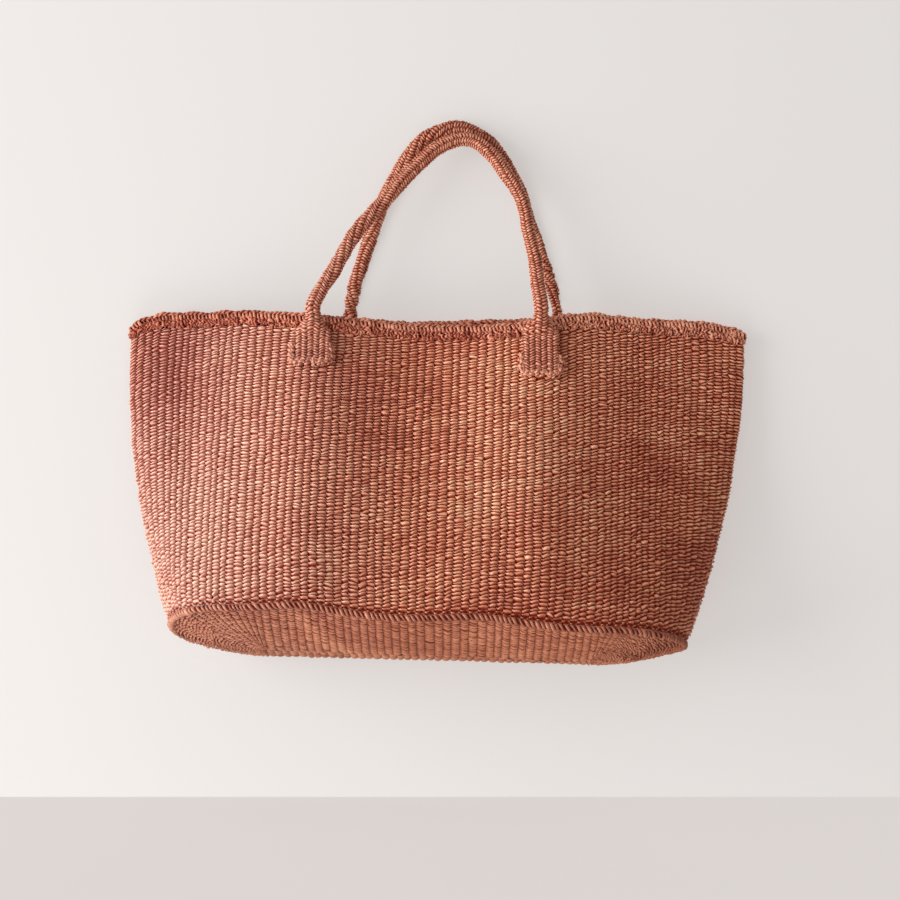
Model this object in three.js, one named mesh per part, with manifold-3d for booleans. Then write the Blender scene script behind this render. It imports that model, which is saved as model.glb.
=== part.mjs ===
import * as THREE from "three";
import { mergeVertices } from "three/addons/utils/BufferGeometryUtils.js";
import Module from "manifold-3d";

const wasm = await Module();
wasm.setup();

const { lerp, clamp, smoothstep } = THREE.MathUtils;

// Driving dimensions in millimetres. The origin is the point that the front handle hangs from,
// X runs along the bag, its front faces -Y and Z is up.
const CLEARANCE = 0.4;
const BACK_Y = 11.5;

const MOUTH_WIDTH = 544;
const MOUTH_DEPTH = 44;
const MOUTH_FOLD_LENGTH = 31.5;
const MOUTH_CENTRE_X = -20.5;
const MOUTH_TOP_Z = -151;
const MOUTH_DIP = 7;
const MOUTH_DIP_REACH = 75;
const LEFT_CORNER_DROP = 10;
const RIGHT_CORNER_DROP = 12;
// The left corner turns down sharply and the right one over a longer way.
const LEFT_CORNER_POWER = 28;
const RIGHT_CORNER_POWER = 8;

const BASE_LENGTH = 440;
const BASE_DEPTH = 163;
const BASE_CENTRE_X = -28.5;
const BASE_FRONT_Z = -405;
const BASE_BACK_Z = -448;
const BASE_FRONT_FALL = 0.06;
const BASE_BACK_FALL = 0.015;
const BASE_SAG = 15;
const BASE_THICKNESS = 4.5;
const BASE_BRAID_DIAMETER = 6;

const WALL_THICKNESS = 4.5;
const WALL_BELLY = 3;
// Below 1, the wall widens sooner above the base.
const WALL_WIDENING = 0.88;
const WALL_FLARE_CURVE = 0.35;
// The front's two ridges, below the tabs that pull it out, and the hollow between them.
const LEFT_RIDGE_X = -137;
const RIGHT_RIDGE_X = 71;
const RIDGE_RISE = 5;
const RIDGE_REACH = 45;
const RIDGE_TIP = 5;
const HOLLOW_DEPTH = 10;

const RIM_HEIGHT = 12;
const RIM_THICKNESS = 10;
const RIM_BRAID_DIAMETER = 4.6;

const HANDLE_DIAMETER = 12;
const HINGE_Z = -144;
const HINGE_PROUD = 1;
const FRONT_APEX_Y = -6.5;
const BACK_APEX_Y = 6.5;
const TAB_THICKNESS = 4.2;
const TAB_WIDTH = 31;
const FRONT_LEFT_TAB_HEIGHT = 43;
const FRONT_RIGHT_TAB_HEIGHT = 53;
const BACK_TAB_HEIGHT = 48;
const TAB_NECK_WIDTH = 15;
const TAB_FLARE_HEIGHT = 22;
const SEWING_CORD_DIAMETER = 3;
const SEWING_CORD_RISE = 16;

// Where each handle's line runs, seen from the front, as [x, z]. Both ends stand on the hinge line.
const FRONT_HANDLE_LINE = [
  [-128, HINGE_Z], [-124, -134], [-118, -123.5], [-110, -111], [-103, -98], [-96, -85], [-86.5, -71.5],
  [-75, -58.5], [-64, -46.5], [-54, -34.5], [-43.5, -23], [-34, -13.5], [-23.5, -4], [-12, 2.5], [0, 6],
  [10, 5], [20, -1.5], [30, -12], [39, -25.5], [47, -37], [52.5, -48], [56, -60], [58, -74], [61, -88],
  [64, -103], [66, -122], [69, HINGE_Z],
];
const BACK_HANDLE_LINE = [
  [-98.5, HINGE_Z], [-96, -129], [-92.5, -115], [-88, -101], [-83.5, -87], [-78, -71], [-72, -54.5],
  [-64.5, -38], [-56, -23], [-47.5, -9], [-38, 2.5], [-28.5, 10.5], [-17, 15.5], [-5, 18], [5, 16.5],
  [15, 12], [25, 5.5], [34.5, -5.5], [42, -18], [49.5, -31], [54.5, -43], [58, -56], [62, -69], [67, -81],
  [71.5, -96], [76.5, -109], [81, -123], [85.5, HINGE_Z],
];

// The four flattened strap ends that are sewn to the outside of the bag.
const TABS = [
  { name: "front_left", isFront: true, x: FRONT_HANDLE_LINE[0][0], height: FRONT_LEFT_TAB_HEIGHT },
  { name: "front_right", isFront: true, x: FRONT_HANDLE_LINE.at(-1)[0], height: FRONT_RIGHT_TAB_HEIGHT },
  { name: "back_left", isFront: false, x: BACK_HANDLE_LINE[0][0], height: BACK_TAB_HEIGHT },
  { name: "back_right", isFront: false, x: BACK_HANDLE_LINE.at(-1)[0], height: BACK_TAB_HEIGHT },
];

// Roundness of the front's girth line at the base, where 2 is an ellipse and more is squarer.
const BASE_FRONT_POWER = 6;
// Further up the front turns to flat facets. The folds then lie this share of the depth forward.
const MOUTH_FOLD_SHARE = 0.16;
const FOLD_ROUND = 0.12;
const FACET_ROUND = 0.07;
const FACET_START = 0.75;
const RIDGE_FADE = 0.12;

// Mesh density.
const PLAN_STEPS = 120;
const GIRTH_STEPS = 60;
const WALL_STEPS = 10;
const BASE_STEPS = 5;
const TAB_STEPS = 7;
const TUBE_SIDES = 8;
const CORD_SIDES = 6;
const HANDLE_STEPS = 40;
// The base's first round starts this share of the way from its spine to its edge.
const SPINE_REACH = 0.05;

const UP = new THREE.Vector3(0, 0, 1);

// The wall's middle surface at the back, and the length of the base's round ends.
const backMiddleY = BACK_Y - RIM_THICKNESS / 2;
const baseRound = BASE_DEPTH / 2;

// How far forward the front stands, from 0 at its two folds to 1 between its two ridges.
function facetShare(x, left, right) {
  const rise = Math.min((x - left) / (LEFT_RIDGE_X - left), (right - x) / (right - RIGHT_RIDGE_X));
  const eased = rise - FACET_ROUND * Math.log1p(Math.exp((rise - 1) / FACET_ROUND));
  const share = clamp(eased, 0, 1);
  return Math.sqrt((share ** 2 + 2 * FOLD_ROUND * share) / (1 + 2 * FOLD_ROUND));
}

// The front stands out along a ridge below each tab and sinks in between the two.
function frontRise(x, level) {
  const ridges = [LEFT_RIDGE_X, RIGHT_RIDGE_X].map((ridgeX) => {
    const away = Math.hypot(x - ridgeX, RIDGE_TIP) - RIDGE_TIP;
    return RIDGE_RISE * Math.exp(-away / RIDGE_REACH);
  });
  const between = clamp((x - LEFT_RIDGE_X) / (RIGHT_RIDGE_X - LEFT_RIDGE_X), 0, 1);
  const hollow = HOLLOW_DEPTH * level * (0.5 - 0.5 * Math.cos(2 * Math.PI * between));
  return (ridges[0] + ridges[1]) * (1 - Math.exp(-level / RIDGE_FADE)) - hollow;
}

// One half of a girth line seen from above, from the left fold to the right one.
function halfPlan(level, isFront) {
  const widening = Math.sin((level ** WALL_WIDENING * Math.PI) / 2);
  const width = lerp(BASE_LENGTH, MOUTH_WIDTH, widening)
    + WALL_BELLY * Math.sin(level * Math.PI) - WALL_THICKNESS;
  const flare = lerp(1 - level, (1 - level) ** 2, WALL_FLARE_CURVE);
  const depth = lerp(MOUTH_DEPTH, BASE_DEPTH, flare) - WALL_THICKNESS;
  const centreX = lerp(BASE_CENTRE_X, MOUTH_CENTRE_X, level);
  const straight = 1 - lerp(baseRound, MOUTH_FOLD_LENGTH, level) / (width / 2);
  const flatness = Math.sin((level ** FACET_START * Math.PI) / 2);
  const fold = lerp(0.5, MOUTH_FOLD_SHARE, flatness);
  const points = [];
  for (let step = 0; step <= PLAN_STEPS; step++) {
    const across = -Math.cos((step / PLAN_STEPS) * Math.PI);
    const x = centreX + (across * width) / 2;
    if (isFront) {
      const rounded = Math.sqrt(Math.max(0, 1 - Math.abs(across) ** BASE_FRONT_POWER));
      const facets = facetShare(x, centreX - width / 2, centreX + width / 2);
      const forward = lerp(fold, 1, lerp(rounded, facets, flatness));
      points.push(new THREE.Vector2(x, backMiddleY - depth * forward - frontRise(x, level)));
    } else {
      const past = Math.max(0, Math.abs(across) - straight) / (1 - straight);
      const forward = fold * (1 - Math.sqrt(Math.max(0, 1 - past ** 2)));
      points.push(new THREE.Vector2(x, backMiddleY - depth * forward));
    }
  }
  return points;
}

function alongLine(points, share) {
  const lengths = [0];
  for (let i = 1; i < points.length; i++) {
    lengths.push(lengths[i - 1] + points[i].distanceTo(points[i - 1]));
  }
  const target = clamp(share, 0, 1) * lengths.at(-1);
  const next = Math.max(1, lengths.findIndex((length) => length >= target));
  const part = (target - lengths[next - 1]) / (lengths[next] - lengths[next - 1]);
  return points[next - 1].clone().lerp(points[next], part);
}

// girth runs from 0 at the left fold, along the front to 0.5 at the right fold, and back to 1.
function planPoint(girth, level) {
  const wrapped = girth - Math.floor(girth);
  if (wrapped < 0.5) return alongLine(halfPlan(level, true), wrapped * 2);
  return alongLine(halfPlan(level, false), 2 - wrapped * 2);
}

// Height of the base's edge, which tilts down towards the back and a little to the right.
function seamZ(plan) {
  const forward = (backMiddleY - plan.y) / (BASE_DEPTH - WALL_THICKNESS);
  const aside = plan.x - BASE_CENTRE_X;
  const back = BASE_BACK_Z - BASE_BACK_FALL * aside;
  return lerp(back, BASE_FRONT_Z - BASE_FRONT_FALL * aside, forward);
}

// Top of the rim, which sags at the front between the handles and drops at both corners.
function rimTopZ(plan) {
  const forward = (backMiddleY - plan.y) / (MOUTH_DEPTH - WALL_THICKNESS);
  const dip = MOUTH_DIP * forward * Math.exp(-((plan.x / MOUTH_DIP_REACH) ** 2));
  const across = (plan.x - MOUTH_CENTRE_X) / (MOUTH_WIDTH / 2);
  const left = LEFT_CORNER_DROP * Math.max(0, -across) ** LEFT_CORNER_POWER;
  const right = RIGHT_CORNER_DROP * Math.max(0, across) ** RIGHT_CORNER_POWER;
  return MOUTH_TOP_Z - dip - left - right;
}

function wallTopZ(plan) {
  return rimTopZ(plan) - RIM_BRAID_DIAMETER - RIM_HEIGHT - 3 * CLEARANCE;
}

// A point of the side wall's middle surface; level is 0 at the base's edge and 1 under the rim.
function wallPoint(girth, level) {
  const plan = planPoint(girth, level);
  const z = lerp(seamZ(planPoint(girth, 0)), wallTopZ(planPoint(girth, 1)), level);
  return new THREE.Vector3(plan.x, plan.y, z);
}

function wallNormal(girth, level) {
  const small = 1e-3;
  const low = Math.max(0, level - small);
  const high = Math.min(1, level + small);
  const along = wallPoint(girth + small, level).sub(wallPoint(girth - small, level));
  const up = wallPoint(girth, high).sub(wallPoint(girth, low));
  return along.cross(up).normalize();
}

function offsetWall(girth, level, distance) {
  return wallPoint(girth, level).addScaledVector(wallNormal(girth, level), distance);
}

// A point off the middle surface at a given height, carried straight up above the wall's top.
function skinPoint(girth, z, distance) {
  const foot = seamZ(planPoint(girth, 0));
  const top = wallTopZ(planPoint(girth, 1));
  if (z < top) return offsetWall(girth, (z - foot) / (top - foot), distance);
  const normal = wallNormal(girth, 1).setZ(0).normalize();
  return wallPoint(girth, 1).setZ(z).addScaledVector(normal, distance);
}

// Closed solids from rings of points, either joined end to end or capped across.
function loft(rings, isLoop) {
  const count = rings[0].length;
  const index = [];
  const quad = (a, b, c, d) => index.push(a, b, c, a, c, d);
  const at = (ring, i) => (ring % rings.length) * count + (i % count);
  const spans = isLoop ? rings.length : rings.length - 1;
  for (let ring = 0; ring < spans; ring++) {
    for (let i = 0; i < count; i++) {
      quad(at(ring, i), at(ring, i + 1), at(ring + 1, i + 1), at(ring + 1, i));
    }
  }
  if (!isLoop) {
    const last = rings.length - 1;
    for (let i = 0; i < count / 2 - 1; i++) {
      quad(at(0, count - 1 - i), at(0, count - 2 - i), at(0, i + 1), at(0, i));
      quad(at(last, i), at(last, i + 1), at(last, count - 2 - i), at(last, count - 1 - i));
    }
  }
  return facingOut(rings.flat(), index);
}

function facingOut(points, index) {
  let volume = 0;
  for (let i = 0; i < index.length; i += 3) {
    const [a, b, c] = [points[index[i]], points[index[i + 1]], points[index[i + 2]]];
    volume += a.dot(b.clone().cross(c));
  }
  if (volume < 0) index.reverse();
  const geometry = new THREE.BufferGeometry().setFromPoints(points);
  geometry.setIndex(index);
  geometry.computeVertexNormals();
  return geometry;
}

function girthRings(ringAt) {
  return Array.from({ length: GIRTH_STEPS }, (_, i) => ringAt(i / GIRTH_STEPS));
}

// A round or rounded section around a middle point, spanned by an outward and an upward direction.
function roundSection(middle, outward, upward, width, height) {
  return Array.from({ length: TUBE_SIDES }, (_, i) => {
    const angle = ((i + 0.5) / TUBE_SIDES) * 2 * Math.PI;
    return middle.clone()
      .addScaledVector(outward, (width / 2) * Math.cos(angle))
      .addScaledVector(upward, (height / 2) * Math.sin(angle));
  });
}

function flatNormal(girth) {
  return wallNormal(girth, 1).setZ(0).normalize();
}

// Side wall: from just above the braid round the base to just under the rim.
const seamGap = BASE_BRAID_DIAMETER / 2 + CLEARANCE;

function sideWall() {
  return loft(girthRings((girth) => {
    const start = seamGap / wallPoint(girth, 0).distanceTo(wallPoint(girth, 1));
    const levels = Array.from({ length: WALL_STEPS + 1 }, (_, i) => {
      return lerp(start, 1, i / WALL_STEPS);
    });
    const outside = levels.map((level) => offsetWall(girth, level, WALL_THICKNESS / 2));
    const inside = levels.map((level) => offsetWall(girth, level, -WALL_THICKNESS / 2));
    return [...outside, ...inside.reverse()];
  }), true);
}

// Base: rounds between its spine and its edge, sagging along the spine.
function basePoint(girth, reach) {
  const edge = wallPoint(girth, 0);
  const spineHalf = (BASE_LENGTH - BASE_DEPTH) / 2;
  const spineX = clamp(edge.x, BASE_CENTRE_X - spineHalf, BASE_CENTRE_X + spineHalf);
  const spineY = backMiddleY - (BASE_DEPTH - WALL_THICKNESS) / 2;
  const plan = new THREE.Vector2(lerp(spineX, edge.x, reach), lerp(spineY, edge.y, reach));
  return new THREE.Vector3(plan.x, plan.y, seamZ(plan) - BASE_SAG * (1 - reach ** 2));
}

function basePanel() {
  const rounds = Array.from({ length: BASE_STEPS + 1 }, (_, i) => i / BASE_STEPS);
  const face = (rise) => rounds.map((share) => girthRings((girth) => {
    const edge = wallPoint(girth, 0);
    const middle = basePoint(girth, 0);
    const last = 1 - seamGap / edge.distanceTo(middle);
    return basePoint(girth, lerp(SPINE_REACH, last, share)).addScaledVector(UP, rise);
  }));
  const top = face(BASE_THICKNESS / 2);
  const under = face(-BASE_THICKNESS / 2);
  return loft([...top, ...under.reverse()], false);
}

function baseBraid() {
  return loft(girthRings((girth) => {
    const outward = wallNormal(girth, 0);
    const upward = wallPoint(girth, 1 / WALL_STEPS).sub(wallPoint(girth, 0)).normalize();
    return roundSection(
      wallPoint(girth, 0), outward, upward, BASE_BRAID_DIAMETER, BASE_BRAID_DIAMETER);
  }), true);
}

// Rim: a bound roll that carries a braid along its top.
function rimRing(width, height, middleBelowTop) {
  return loft(girthRings((girth) => {
    const middle = wallPoint(girth, 1);
    middle.z = rimTopZ(planPoint(girth, 1)) - middleBelowTop;
    return roundSection(middle, flatNormal(girth), UP, width, height);
  }), true);
}

function rimBinding() {
  const belowTop = RIM_BRAID_DIAMETER + CLEARANCE + RIM_HEIGHT / 2;
  return rimRing(RIM_THICKNESS, RIM_HEIGHT, belowTop);
}

function rimBraid() {
  return rimRing(RIM_BRAID_DIAMETER, RIM_BRAID_DIAMETER, RIM_BRAID_DIAMETER / 2);
}

// The girth share at which the mouth's front or back line passes a given x.
function girthAt(x, isFront) {
  let [low, high] = isFront ? [0, 0.5] : [1, 0.5];
  for (let i = 0; i < 40; i++) {
    const middle = (low + high) / 2;
    if (planPoint(middle, 1).x < x) low = middle;
    else high = middle;
  }
  return (low + high) / 2;
}

function lineLength(points) {
  return points.slice(1).reduce((sum, point, i) => sum + point.distanceTo(points[i]), 0);
}

const mouthLength = lineLength(halfPlan(1, true)) + lineLength(halfPlan(1, false));

// How far the bag's outer face stands off its middle surface: the rim is thicker than the wall.
function faceOffset(girth, z) {
  const top = wallTopZ(planPoint(girth, 1));
  const onRim = clamp((z - top + RIM_HEIGHT) / RIM_HEIGHT, 0, 1);
  return lerp(WALL_THICKNESS / 2, RIM_THICKNESS / 2, smoothstep(onRim, 0, 1));
}

const tabTopZ = HINGE_Z - HANDLE_DIAMETER / 2 - CLEARANCE;

function tabWidthAt(drop) {
  const flare = smoothstep(drop, 0, TAB_FLARE_HEIGHT);
  return lerp(TAB_NECK_WIDTH, TAB_WIDTH, flare);
}

// A strap end: narrow where the handle leaves it, flat and wide where it is sewn on.
function tabSolid({ isFront, x, height }) {
  const girth = girthAt(x, isFront);
  const drops = Array.from({ length: TAB_STEPS + 1 }, (_, i) => (height * i) / TAB_STEPS);
  return loft(drops.map((drop) => {
    const z = tabTopZ - drop;
    const row = (distance) => [-0.5, -0.25, 0, 0.25, 0.5].map((share) => {
      const there = girth + (share * tabWidthAt(drop)) / mouthLength;
      return skinPoint(there, z, faceOffset(there, z) + distance);
    });
    return [...row(CLEARANCE + TAB_THICKNESS), ...row(CLEARANCE).reverse()];
  }), false);
}

// The cord that sews a tab down, laid round the tab's lower edge in a U.
function sewingCord({ isFront, x, height }) {
  const girth = girthAt(x, isFront);
  const radius = SEWING_CORD_DIAMETER / 2;
  const aside = (TAB_WIDTH / 2 + CLEARANCE + radius) / mouthLength;
  const foot = tabTopZ - height - CLEARANCE - radius;
  const route = [
    [-1, SEWING_CORD_RISE], [-1, SEWING_CORD_RISE / 2], [-1, 2], [-0.9, 0], [-0.5, 0], [0, 0],
    [0.5, 0], [0.9, 0], [1, 2], [1, SEWING_CORD_RISE / 2], [1, SEWING_CORD_RISE],
  ];
  const points = route.map(([side, rise]) => {
    const there = girth + side * aside;
    const z = foot + rise;
    return skinPoint(there, z, faceOffset(there, z) + CLEARANCE + radius);
  });
  return tube(new THREE.CatmullRomCurve3(points), radius, 2 * route.length, CORD_SIDES);
}

function tube(path, radius, steps, sides) {
  const section = new THREE.Shape();
  section.absarc(0, 0, radius, 0, 2 * Math.PI);
  return new THREE.ExtrudeGeometry(section, {
    steps,
    curveSegments: sides / 2,
    extrudePath: path,
    bevelEnabled: false,
  });
}

function solidFrom(geometry) {
  const bare = new THREE.BufferGeometry();
  bare.setAttribute("position", geometry.getAttribute("position"));
  if (geometry.index) bare.setIndex(geometry.index);
  const merged = mergeVertices(bare, 1e-3);
  return new wasm.Manifold(new wasm.Mesh({
    numProp: 3,
    vertProperties: merged.getAttribute("position").array,
    triVerts: new Uint32Array(merged.index.array),
  }));
}

function geometryFrom(solid) {
  const mesh = solid.getMesh();
  const geometry = new THREE.BufferGeometry();
  geometry.setAttribute("position", new THREE.BufferAttribute(mesh.vertProperties, 3));
  geometry.setIndex(new THREE.BufferAttribute(mesh.triVerts, 1));
  geometry.computeVertexNormals();
  return geometry;
}

// The hinge line of each handle runs through its two strap ends, just proud of the tabs.
function hingeY(isFront) {
  const tab = TABS.find((each) => each.isFront === isFront);
  const girth = girthAt(tab.x, isFront);
  const reach = faceOffset(girth, tabTopZ) + CLEARANCE + TAB_THICKNESS + HINGE_PROUD;
  return skinPoint(girth, tabTopZ, reach).y;
}

// A handle: one rolled strap, leaning from its hinge line to the apex, with round ends that turn.
function handle(line, isFront) {
  const apexY = isFront ? FRONT_APEX_Y : BACK_APEX_Y;
  const apexZ = Math.max(...line.map(([, z]) => z));
  const points = line.map(([x, z]) => {
    const y = lerp(hingeY(isFront), apexY, (z - HINGE_Z) / (apexZ - HINGE_Z));
    return new THREE.Vector3(x, y, z);
  });
  const radius = HANDLE_DIAMETER / 2;
  let solid = solidFrom(tube(new THREE.CatmullRomCurve3(points), radius, HANDLE_STEPS, TUBE_SIDES));
  for (const end of [points[0], points.at(-1)]) {
    const knuckle = new THREE.SphereGeometry(radius, TUBE_SIDES, TUBE_SIDES / 2 + 2);
    knuckle.translate(end.x, end.y, end.z);
    solid = solid.add(solidFrom(knuckle));
  }
  return geometryFrom(solid);
}

// Each mesh is one physical piece.
const sisal = (color) => new THREE.MeshStandardMaterial({ color, roughness: 0.9, metalness: 0 });
const sideSisal = sisal(0xb9714f);
const baseSisal = sisal(0xa5684c);
const rimSisal = sisal(0xa9593c);
const handleSisal = sisal(0xb4694a);
const cordSisal = sisal(0xc48563);

function piece(name, geometry, material) {
  const mesh = new THREE.Mesh(geometry, material);
  mesh.name = name;
  return mesh;
}

const bag = new THREE.Group();
bag.add(
  piece("side_wall", sideWall(), sideSisal),
  piece("base_panel", basePanel(), baseSisal),
  piece("base_edge_braid", baseBraid(), baseSisal),
  piece("rim_binding", rimBinding(), rimSisal),
  piece("rim_edge_braid", rimBraid(), rimSisal),
  piece("front_handle", handle(FRONT_HANDLE_LINE, true), handleSisal),
  piece("back_handle", handle(BACK_HANDLE_LINE, false), handleSisal),
);
for (const tab of TABS) {
  bag.add(
    piece(`${tab.name}_tab`, tabSolid(tab), handleSisal),
    piece(`${tab.name}_sewing_cord`, sewingCord(tab), cordSisal),
  );
}

export default bag;
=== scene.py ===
import math
from collections import namedtuple

import bpy
import bmesh
import numpy as np
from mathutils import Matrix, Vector
from numpy.random import default_rng


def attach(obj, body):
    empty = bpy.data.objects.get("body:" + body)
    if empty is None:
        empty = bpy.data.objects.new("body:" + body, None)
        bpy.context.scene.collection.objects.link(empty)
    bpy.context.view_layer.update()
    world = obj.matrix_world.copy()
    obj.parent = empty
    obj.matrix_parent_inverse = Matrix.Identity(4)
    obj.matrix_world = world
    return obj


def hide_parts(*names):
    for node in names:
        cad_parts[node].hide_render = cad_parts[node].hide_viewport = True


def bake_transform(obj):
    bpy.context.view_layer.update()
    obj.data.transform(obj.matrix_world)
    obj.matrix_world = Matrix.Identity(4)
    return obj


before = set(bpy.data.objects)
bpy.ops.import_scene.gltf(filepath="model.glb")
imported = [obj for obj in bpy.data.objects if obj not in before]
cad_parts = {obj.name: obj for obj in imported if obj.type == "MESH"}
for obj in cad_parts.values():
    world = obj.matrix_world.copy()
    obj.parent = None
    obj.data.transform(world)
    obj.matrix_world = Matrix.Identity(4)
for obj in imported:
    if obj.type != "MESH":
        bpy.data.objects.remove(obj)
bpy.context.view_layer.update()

# Lengths are in millimetres up to the moment a mesh is made.
MM = 0.001
UP = np.array([0, 0, 1.0])
TURN = 2 * math.pi
scene = bpy.context.scene

# The bag's shape, as the solids have it.
CLEARANCE = 0.4
BACK_Y = 11.5
MOUTH_WIDTH = 544
MOUTH_DEPTH = 44
MOUTH_FOLD_LENGTH = 31.5
MOUTH_CENTRE_X = -20.5
MOUTH_TOP_Z = -151
MOUTH_DIP = 7
MOUTH_DIP_REACH = 75
LEFT_CORNER_DROP = 10
RIGHT_CORNER_DROP = 12
LEFT_CORNER_POWER = 28
RIGHT_CORNER_POWER = 8
BASE_LENGTH = 440
BASE_DEPTH = 163
BASE_CENTRE_X = -28.5
BASE_FRONT_Z = -405
BASE_BACK_Z = -448
BASE_FRONT_FALL = 0.06
BASE_BACK_FALL = 0.015
BASE_SAG = 15
BASE_THICKNESS = 4.5
BASE_BRAID_DIAMETER = 6
WALL_THICKNESS = 4.5
WALL_LENGTH = 285
WALL_BELLY = 3
WALL_WIDENING = 0.88
WALL_FLARE_CURVE = 0.35
LEFT_RIDGE_X = -137
RIGHT_RIDGE_X = 71
RIDGE_RISE = 5
RIDGE_REACH = 45
# The weave rounds the ridges' tips more than the solids do.
RIDGE_TIP = 20
HOLLOW_DEPTH = 10
RIM_HEIGHT = 9
RIM_THICKNESS = 10
RIM_BRAID_DIAMETER = 4.6
HANDLE_DIAMETER = 12
HINGE_Z = -144
FRONT_APEX_Y = -6.5
BACK_APEX_Y = 6.5
TAB_THICKNESS = 4.2
TAB_STAND_OFF = 1.2
TAB_WIDTH = 31
SEWING_CORD_DIAMETER = 3
SEWING_CORD_RISE = 16
SEWING_STAND_OFF = 1.4
BASE_FRONT_POWER = 6
MOUTH_FOLD_SHARE = 0.16
FOLD_ROUND = 0.12
FACET_ROUND = 0.07
FACET_START = 0.75
RIDGE_FADE = 0.12
FRONT_HANDLE_LINE = [
    (-128, HINGE_Z), (-124, -134), (-118, -123.5), (-110, -111), (-103, -98), (-96, -85), (-86.5, -71.5),
    (-75, -58.5), (-64, -46.5), (-54, -34.5), (-43.5, -23), (-34, -13.5), (-23.5, -4), (-12, 2.5), (0, 6),
    (10, 5), (20, -1.5), (30, -12), (39, -25.5), (47, -37), (52.5, -48), (56, -60), (58, -74), (61, -88),
    (64, -103), (66, -122), (69, HINGE_Z),
]
BACK_HANDLE_LINE = [
    (-98.5, HINGE_Z), (-96, -129), (-92.5, -115), (-88, -101), (-83.5, -87), (-78, -71), (-72, -54.5),
    (-64.5, -38), (-56, -23), (-47.5, -9), (-38, 2.5), (-28.5, 10.5), (-17, 15.5), (-5, 18), (5, 16.5),
    (15, 12), (25, 5.5), (34.5, -5.5), (42, -18), (49.5, -31), (54.5, -43), (58, -56), (62, -69), (67, -81),
    (71.5, -96), (76.5, -109), (81, -123), (85.5, HINGE_Z),
]
TAB_HEIGHTS = {"front_left": 43, "front_right": 53, "back_left": 48, "back_right": 48}

# Small unevenness that only the woven surface has: where along the bag, how far it reaches, how much.
SEAM_WAVES = [(-134, 28, 4), (17, 28, 3.2), (-58, 30, -1.8), (95, 30, -1.8)]
RIM_WAVES = [(-255, 38, 4.3), (-190, 38, 5.4), (-135, 34, 1.7), (-40, 34, -2.4), (20, 34, -1),
             (108, 34, 3.7), (170, 34, -0.9)]
FRONT_FOLDS = [(-236, 30, -3.5)]
DENT_DEPTH = 0.8
# Painted shade and painted light: the front's colour is darker or paler about these places: x and z, width
# and height, and by how much.
LIGHT_AND_SHADE_PATCHES = [
    (-256, -200, 34, 62, 4.8), (-208, -345, 40, 90, -2.2), (-75, -236, 32, 46, 1.6), (46, -262, 42, 80, -2),
    (-10, -338, 32, 60, -1.4), (205, -362, 80, 40, 1.2), (40, -392, 46, 24, 1.2),
]

# The weave.
RIBS = 160
# Along the front, each place as a share of the way from its left end, with the ribs' relative width.
FRONT_RIB_WIDTHS = [
    (0, 0.92), (0.2, 0.97), (0.35, 1), (0.6, 1.03), (0.72, 0.83), (0.82, 0.84), (0.92, 0.92), (1, 0.98),
]
WALL_ROWS = 88
ROW_STRETCH = 0.08
BASE_ROUNDS = 27
COLUMNS = 8
OUTER_STEPS = 4
INNER_STEPS = 2
WALL_COURSES = 8
BASE_RINGS = 3
WALL_RELIEF = 2.75
BASE_RELIEF = 2.7
STRAP_RELIEF = 1.7
STITCH_SLANT = 0.13
BASE_SLANT = 0.2
STRAP_SLANT = 0.3
# How far a rib strays to either side, and over how many rows it does so.
RIB_SWAY = 0.45
SWAY_ROWS = 5
# How far each rib sinks at its foot, and how far the last rows do under the rim.
FOOT_SINK = 2.2
TUCK_SINK = 1.2
STRAP_RIBS = 6
STRAP_ROW_PITCH = 2.5
STRAP_BACK_COLUMNS = 6
STRAP_STRIPS = 6
# The strap bends over this height to either side of its hinge.
RIM_PINCH = 3.5
# Each rope has strands of a thickness, spread about its middle, that make a turn in the pitch's length. A
# twist on the rim also has its place: how far out, its height as a share of the crown's, and its step.
RIM_TWISTS = [
    (0.4, 1.04, 0.7, dict(strand=2.3, spread=1.05, pitch=-9.2, plies=2)),
    (2.6, 0.6, 0.4, dict(strand=2.1, spread=1.9, pitch=3.4, plies=1)),
    (-2.6, 0.8, 0.7, dict(strand=2.8, spread=1.25, pitch=10.5, plies=2)),
]
BASE_BRAID_STEP = 1.25
CORE_PAINTED_SHADE = 0.95
BASE_CORE = dict(strand=4.4, spread=0.05, pitch=20, plies=1, seed=8)
BASE_TWIST = dict(strand=2.7, spread=1.9, pitch=8.5, plies=2, seed=3, stray=0.4, uneven=0.2)
SEWING_TWIST = dict(strand=3.0, spread=1.2, pitch=8, plies=2, stray=0.6, uneven=0.2)
STITCH_TWIST = dict(strand=2.1, spread=0.8, pitch=6.0, plies=2, sides=7, uneven=0.15)
# Each strap is flat below the first of these heights and rolled up above the second.
STRAP_ROLL_Z = {"front": (-171, -149), "back": (-186, -158)}
# How far each strap is twisted, in turns, and its rolled radius, both by the length from its left end.
FRONT_TURNS = [(58, 0), (190, 1), (520, 1)]
FRONT_SIZES = [(0, 6), (60, 6.2), (170, 6.4), (280, 6), (340, 5.4), (380, 5.4), (450, 6.1), (520, 6.1)]
BACK_TURNS = [(44, 0), (80, -0.5), (150, -0.5), (300, -1.5), (390, -1.5), (430, -2), (520, -2)]
BACK_SIZES = [(0, 6.9), (60, 6.9), (110, 6.3), (215, 6.5), (330, 5.7), (440, 5.9), (520, 6.8)]

# The camera looks level at the front, and takes in this width at its distance.
CAMERA_DISTANCE = 2000
CAMERA_X = -9.7
CAMERA_Z = -268
VIEW_WIDTH = 796.5


def lerp(a, b, share):
    return a + (b - a) * share


def smoothstep(x, low, high):
    share = np.clip((x - low) / (high - low), 0, 1)
    return share * share * (3 - 2 * share)


def unit(vectors):
    return vectors / np.maximum(np.linalg.norm(vectors, axis=-1, keepdims=True), 1e-9)


def lengths_along(points, power=1):
    """How far along a line each of its points lies. A power below 1 makes its longer steps count less."""
    return np.append(0, np.cumsum(np.linalg.norm(np.diff(points, axis=0), axis=1) ** power))


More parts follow.
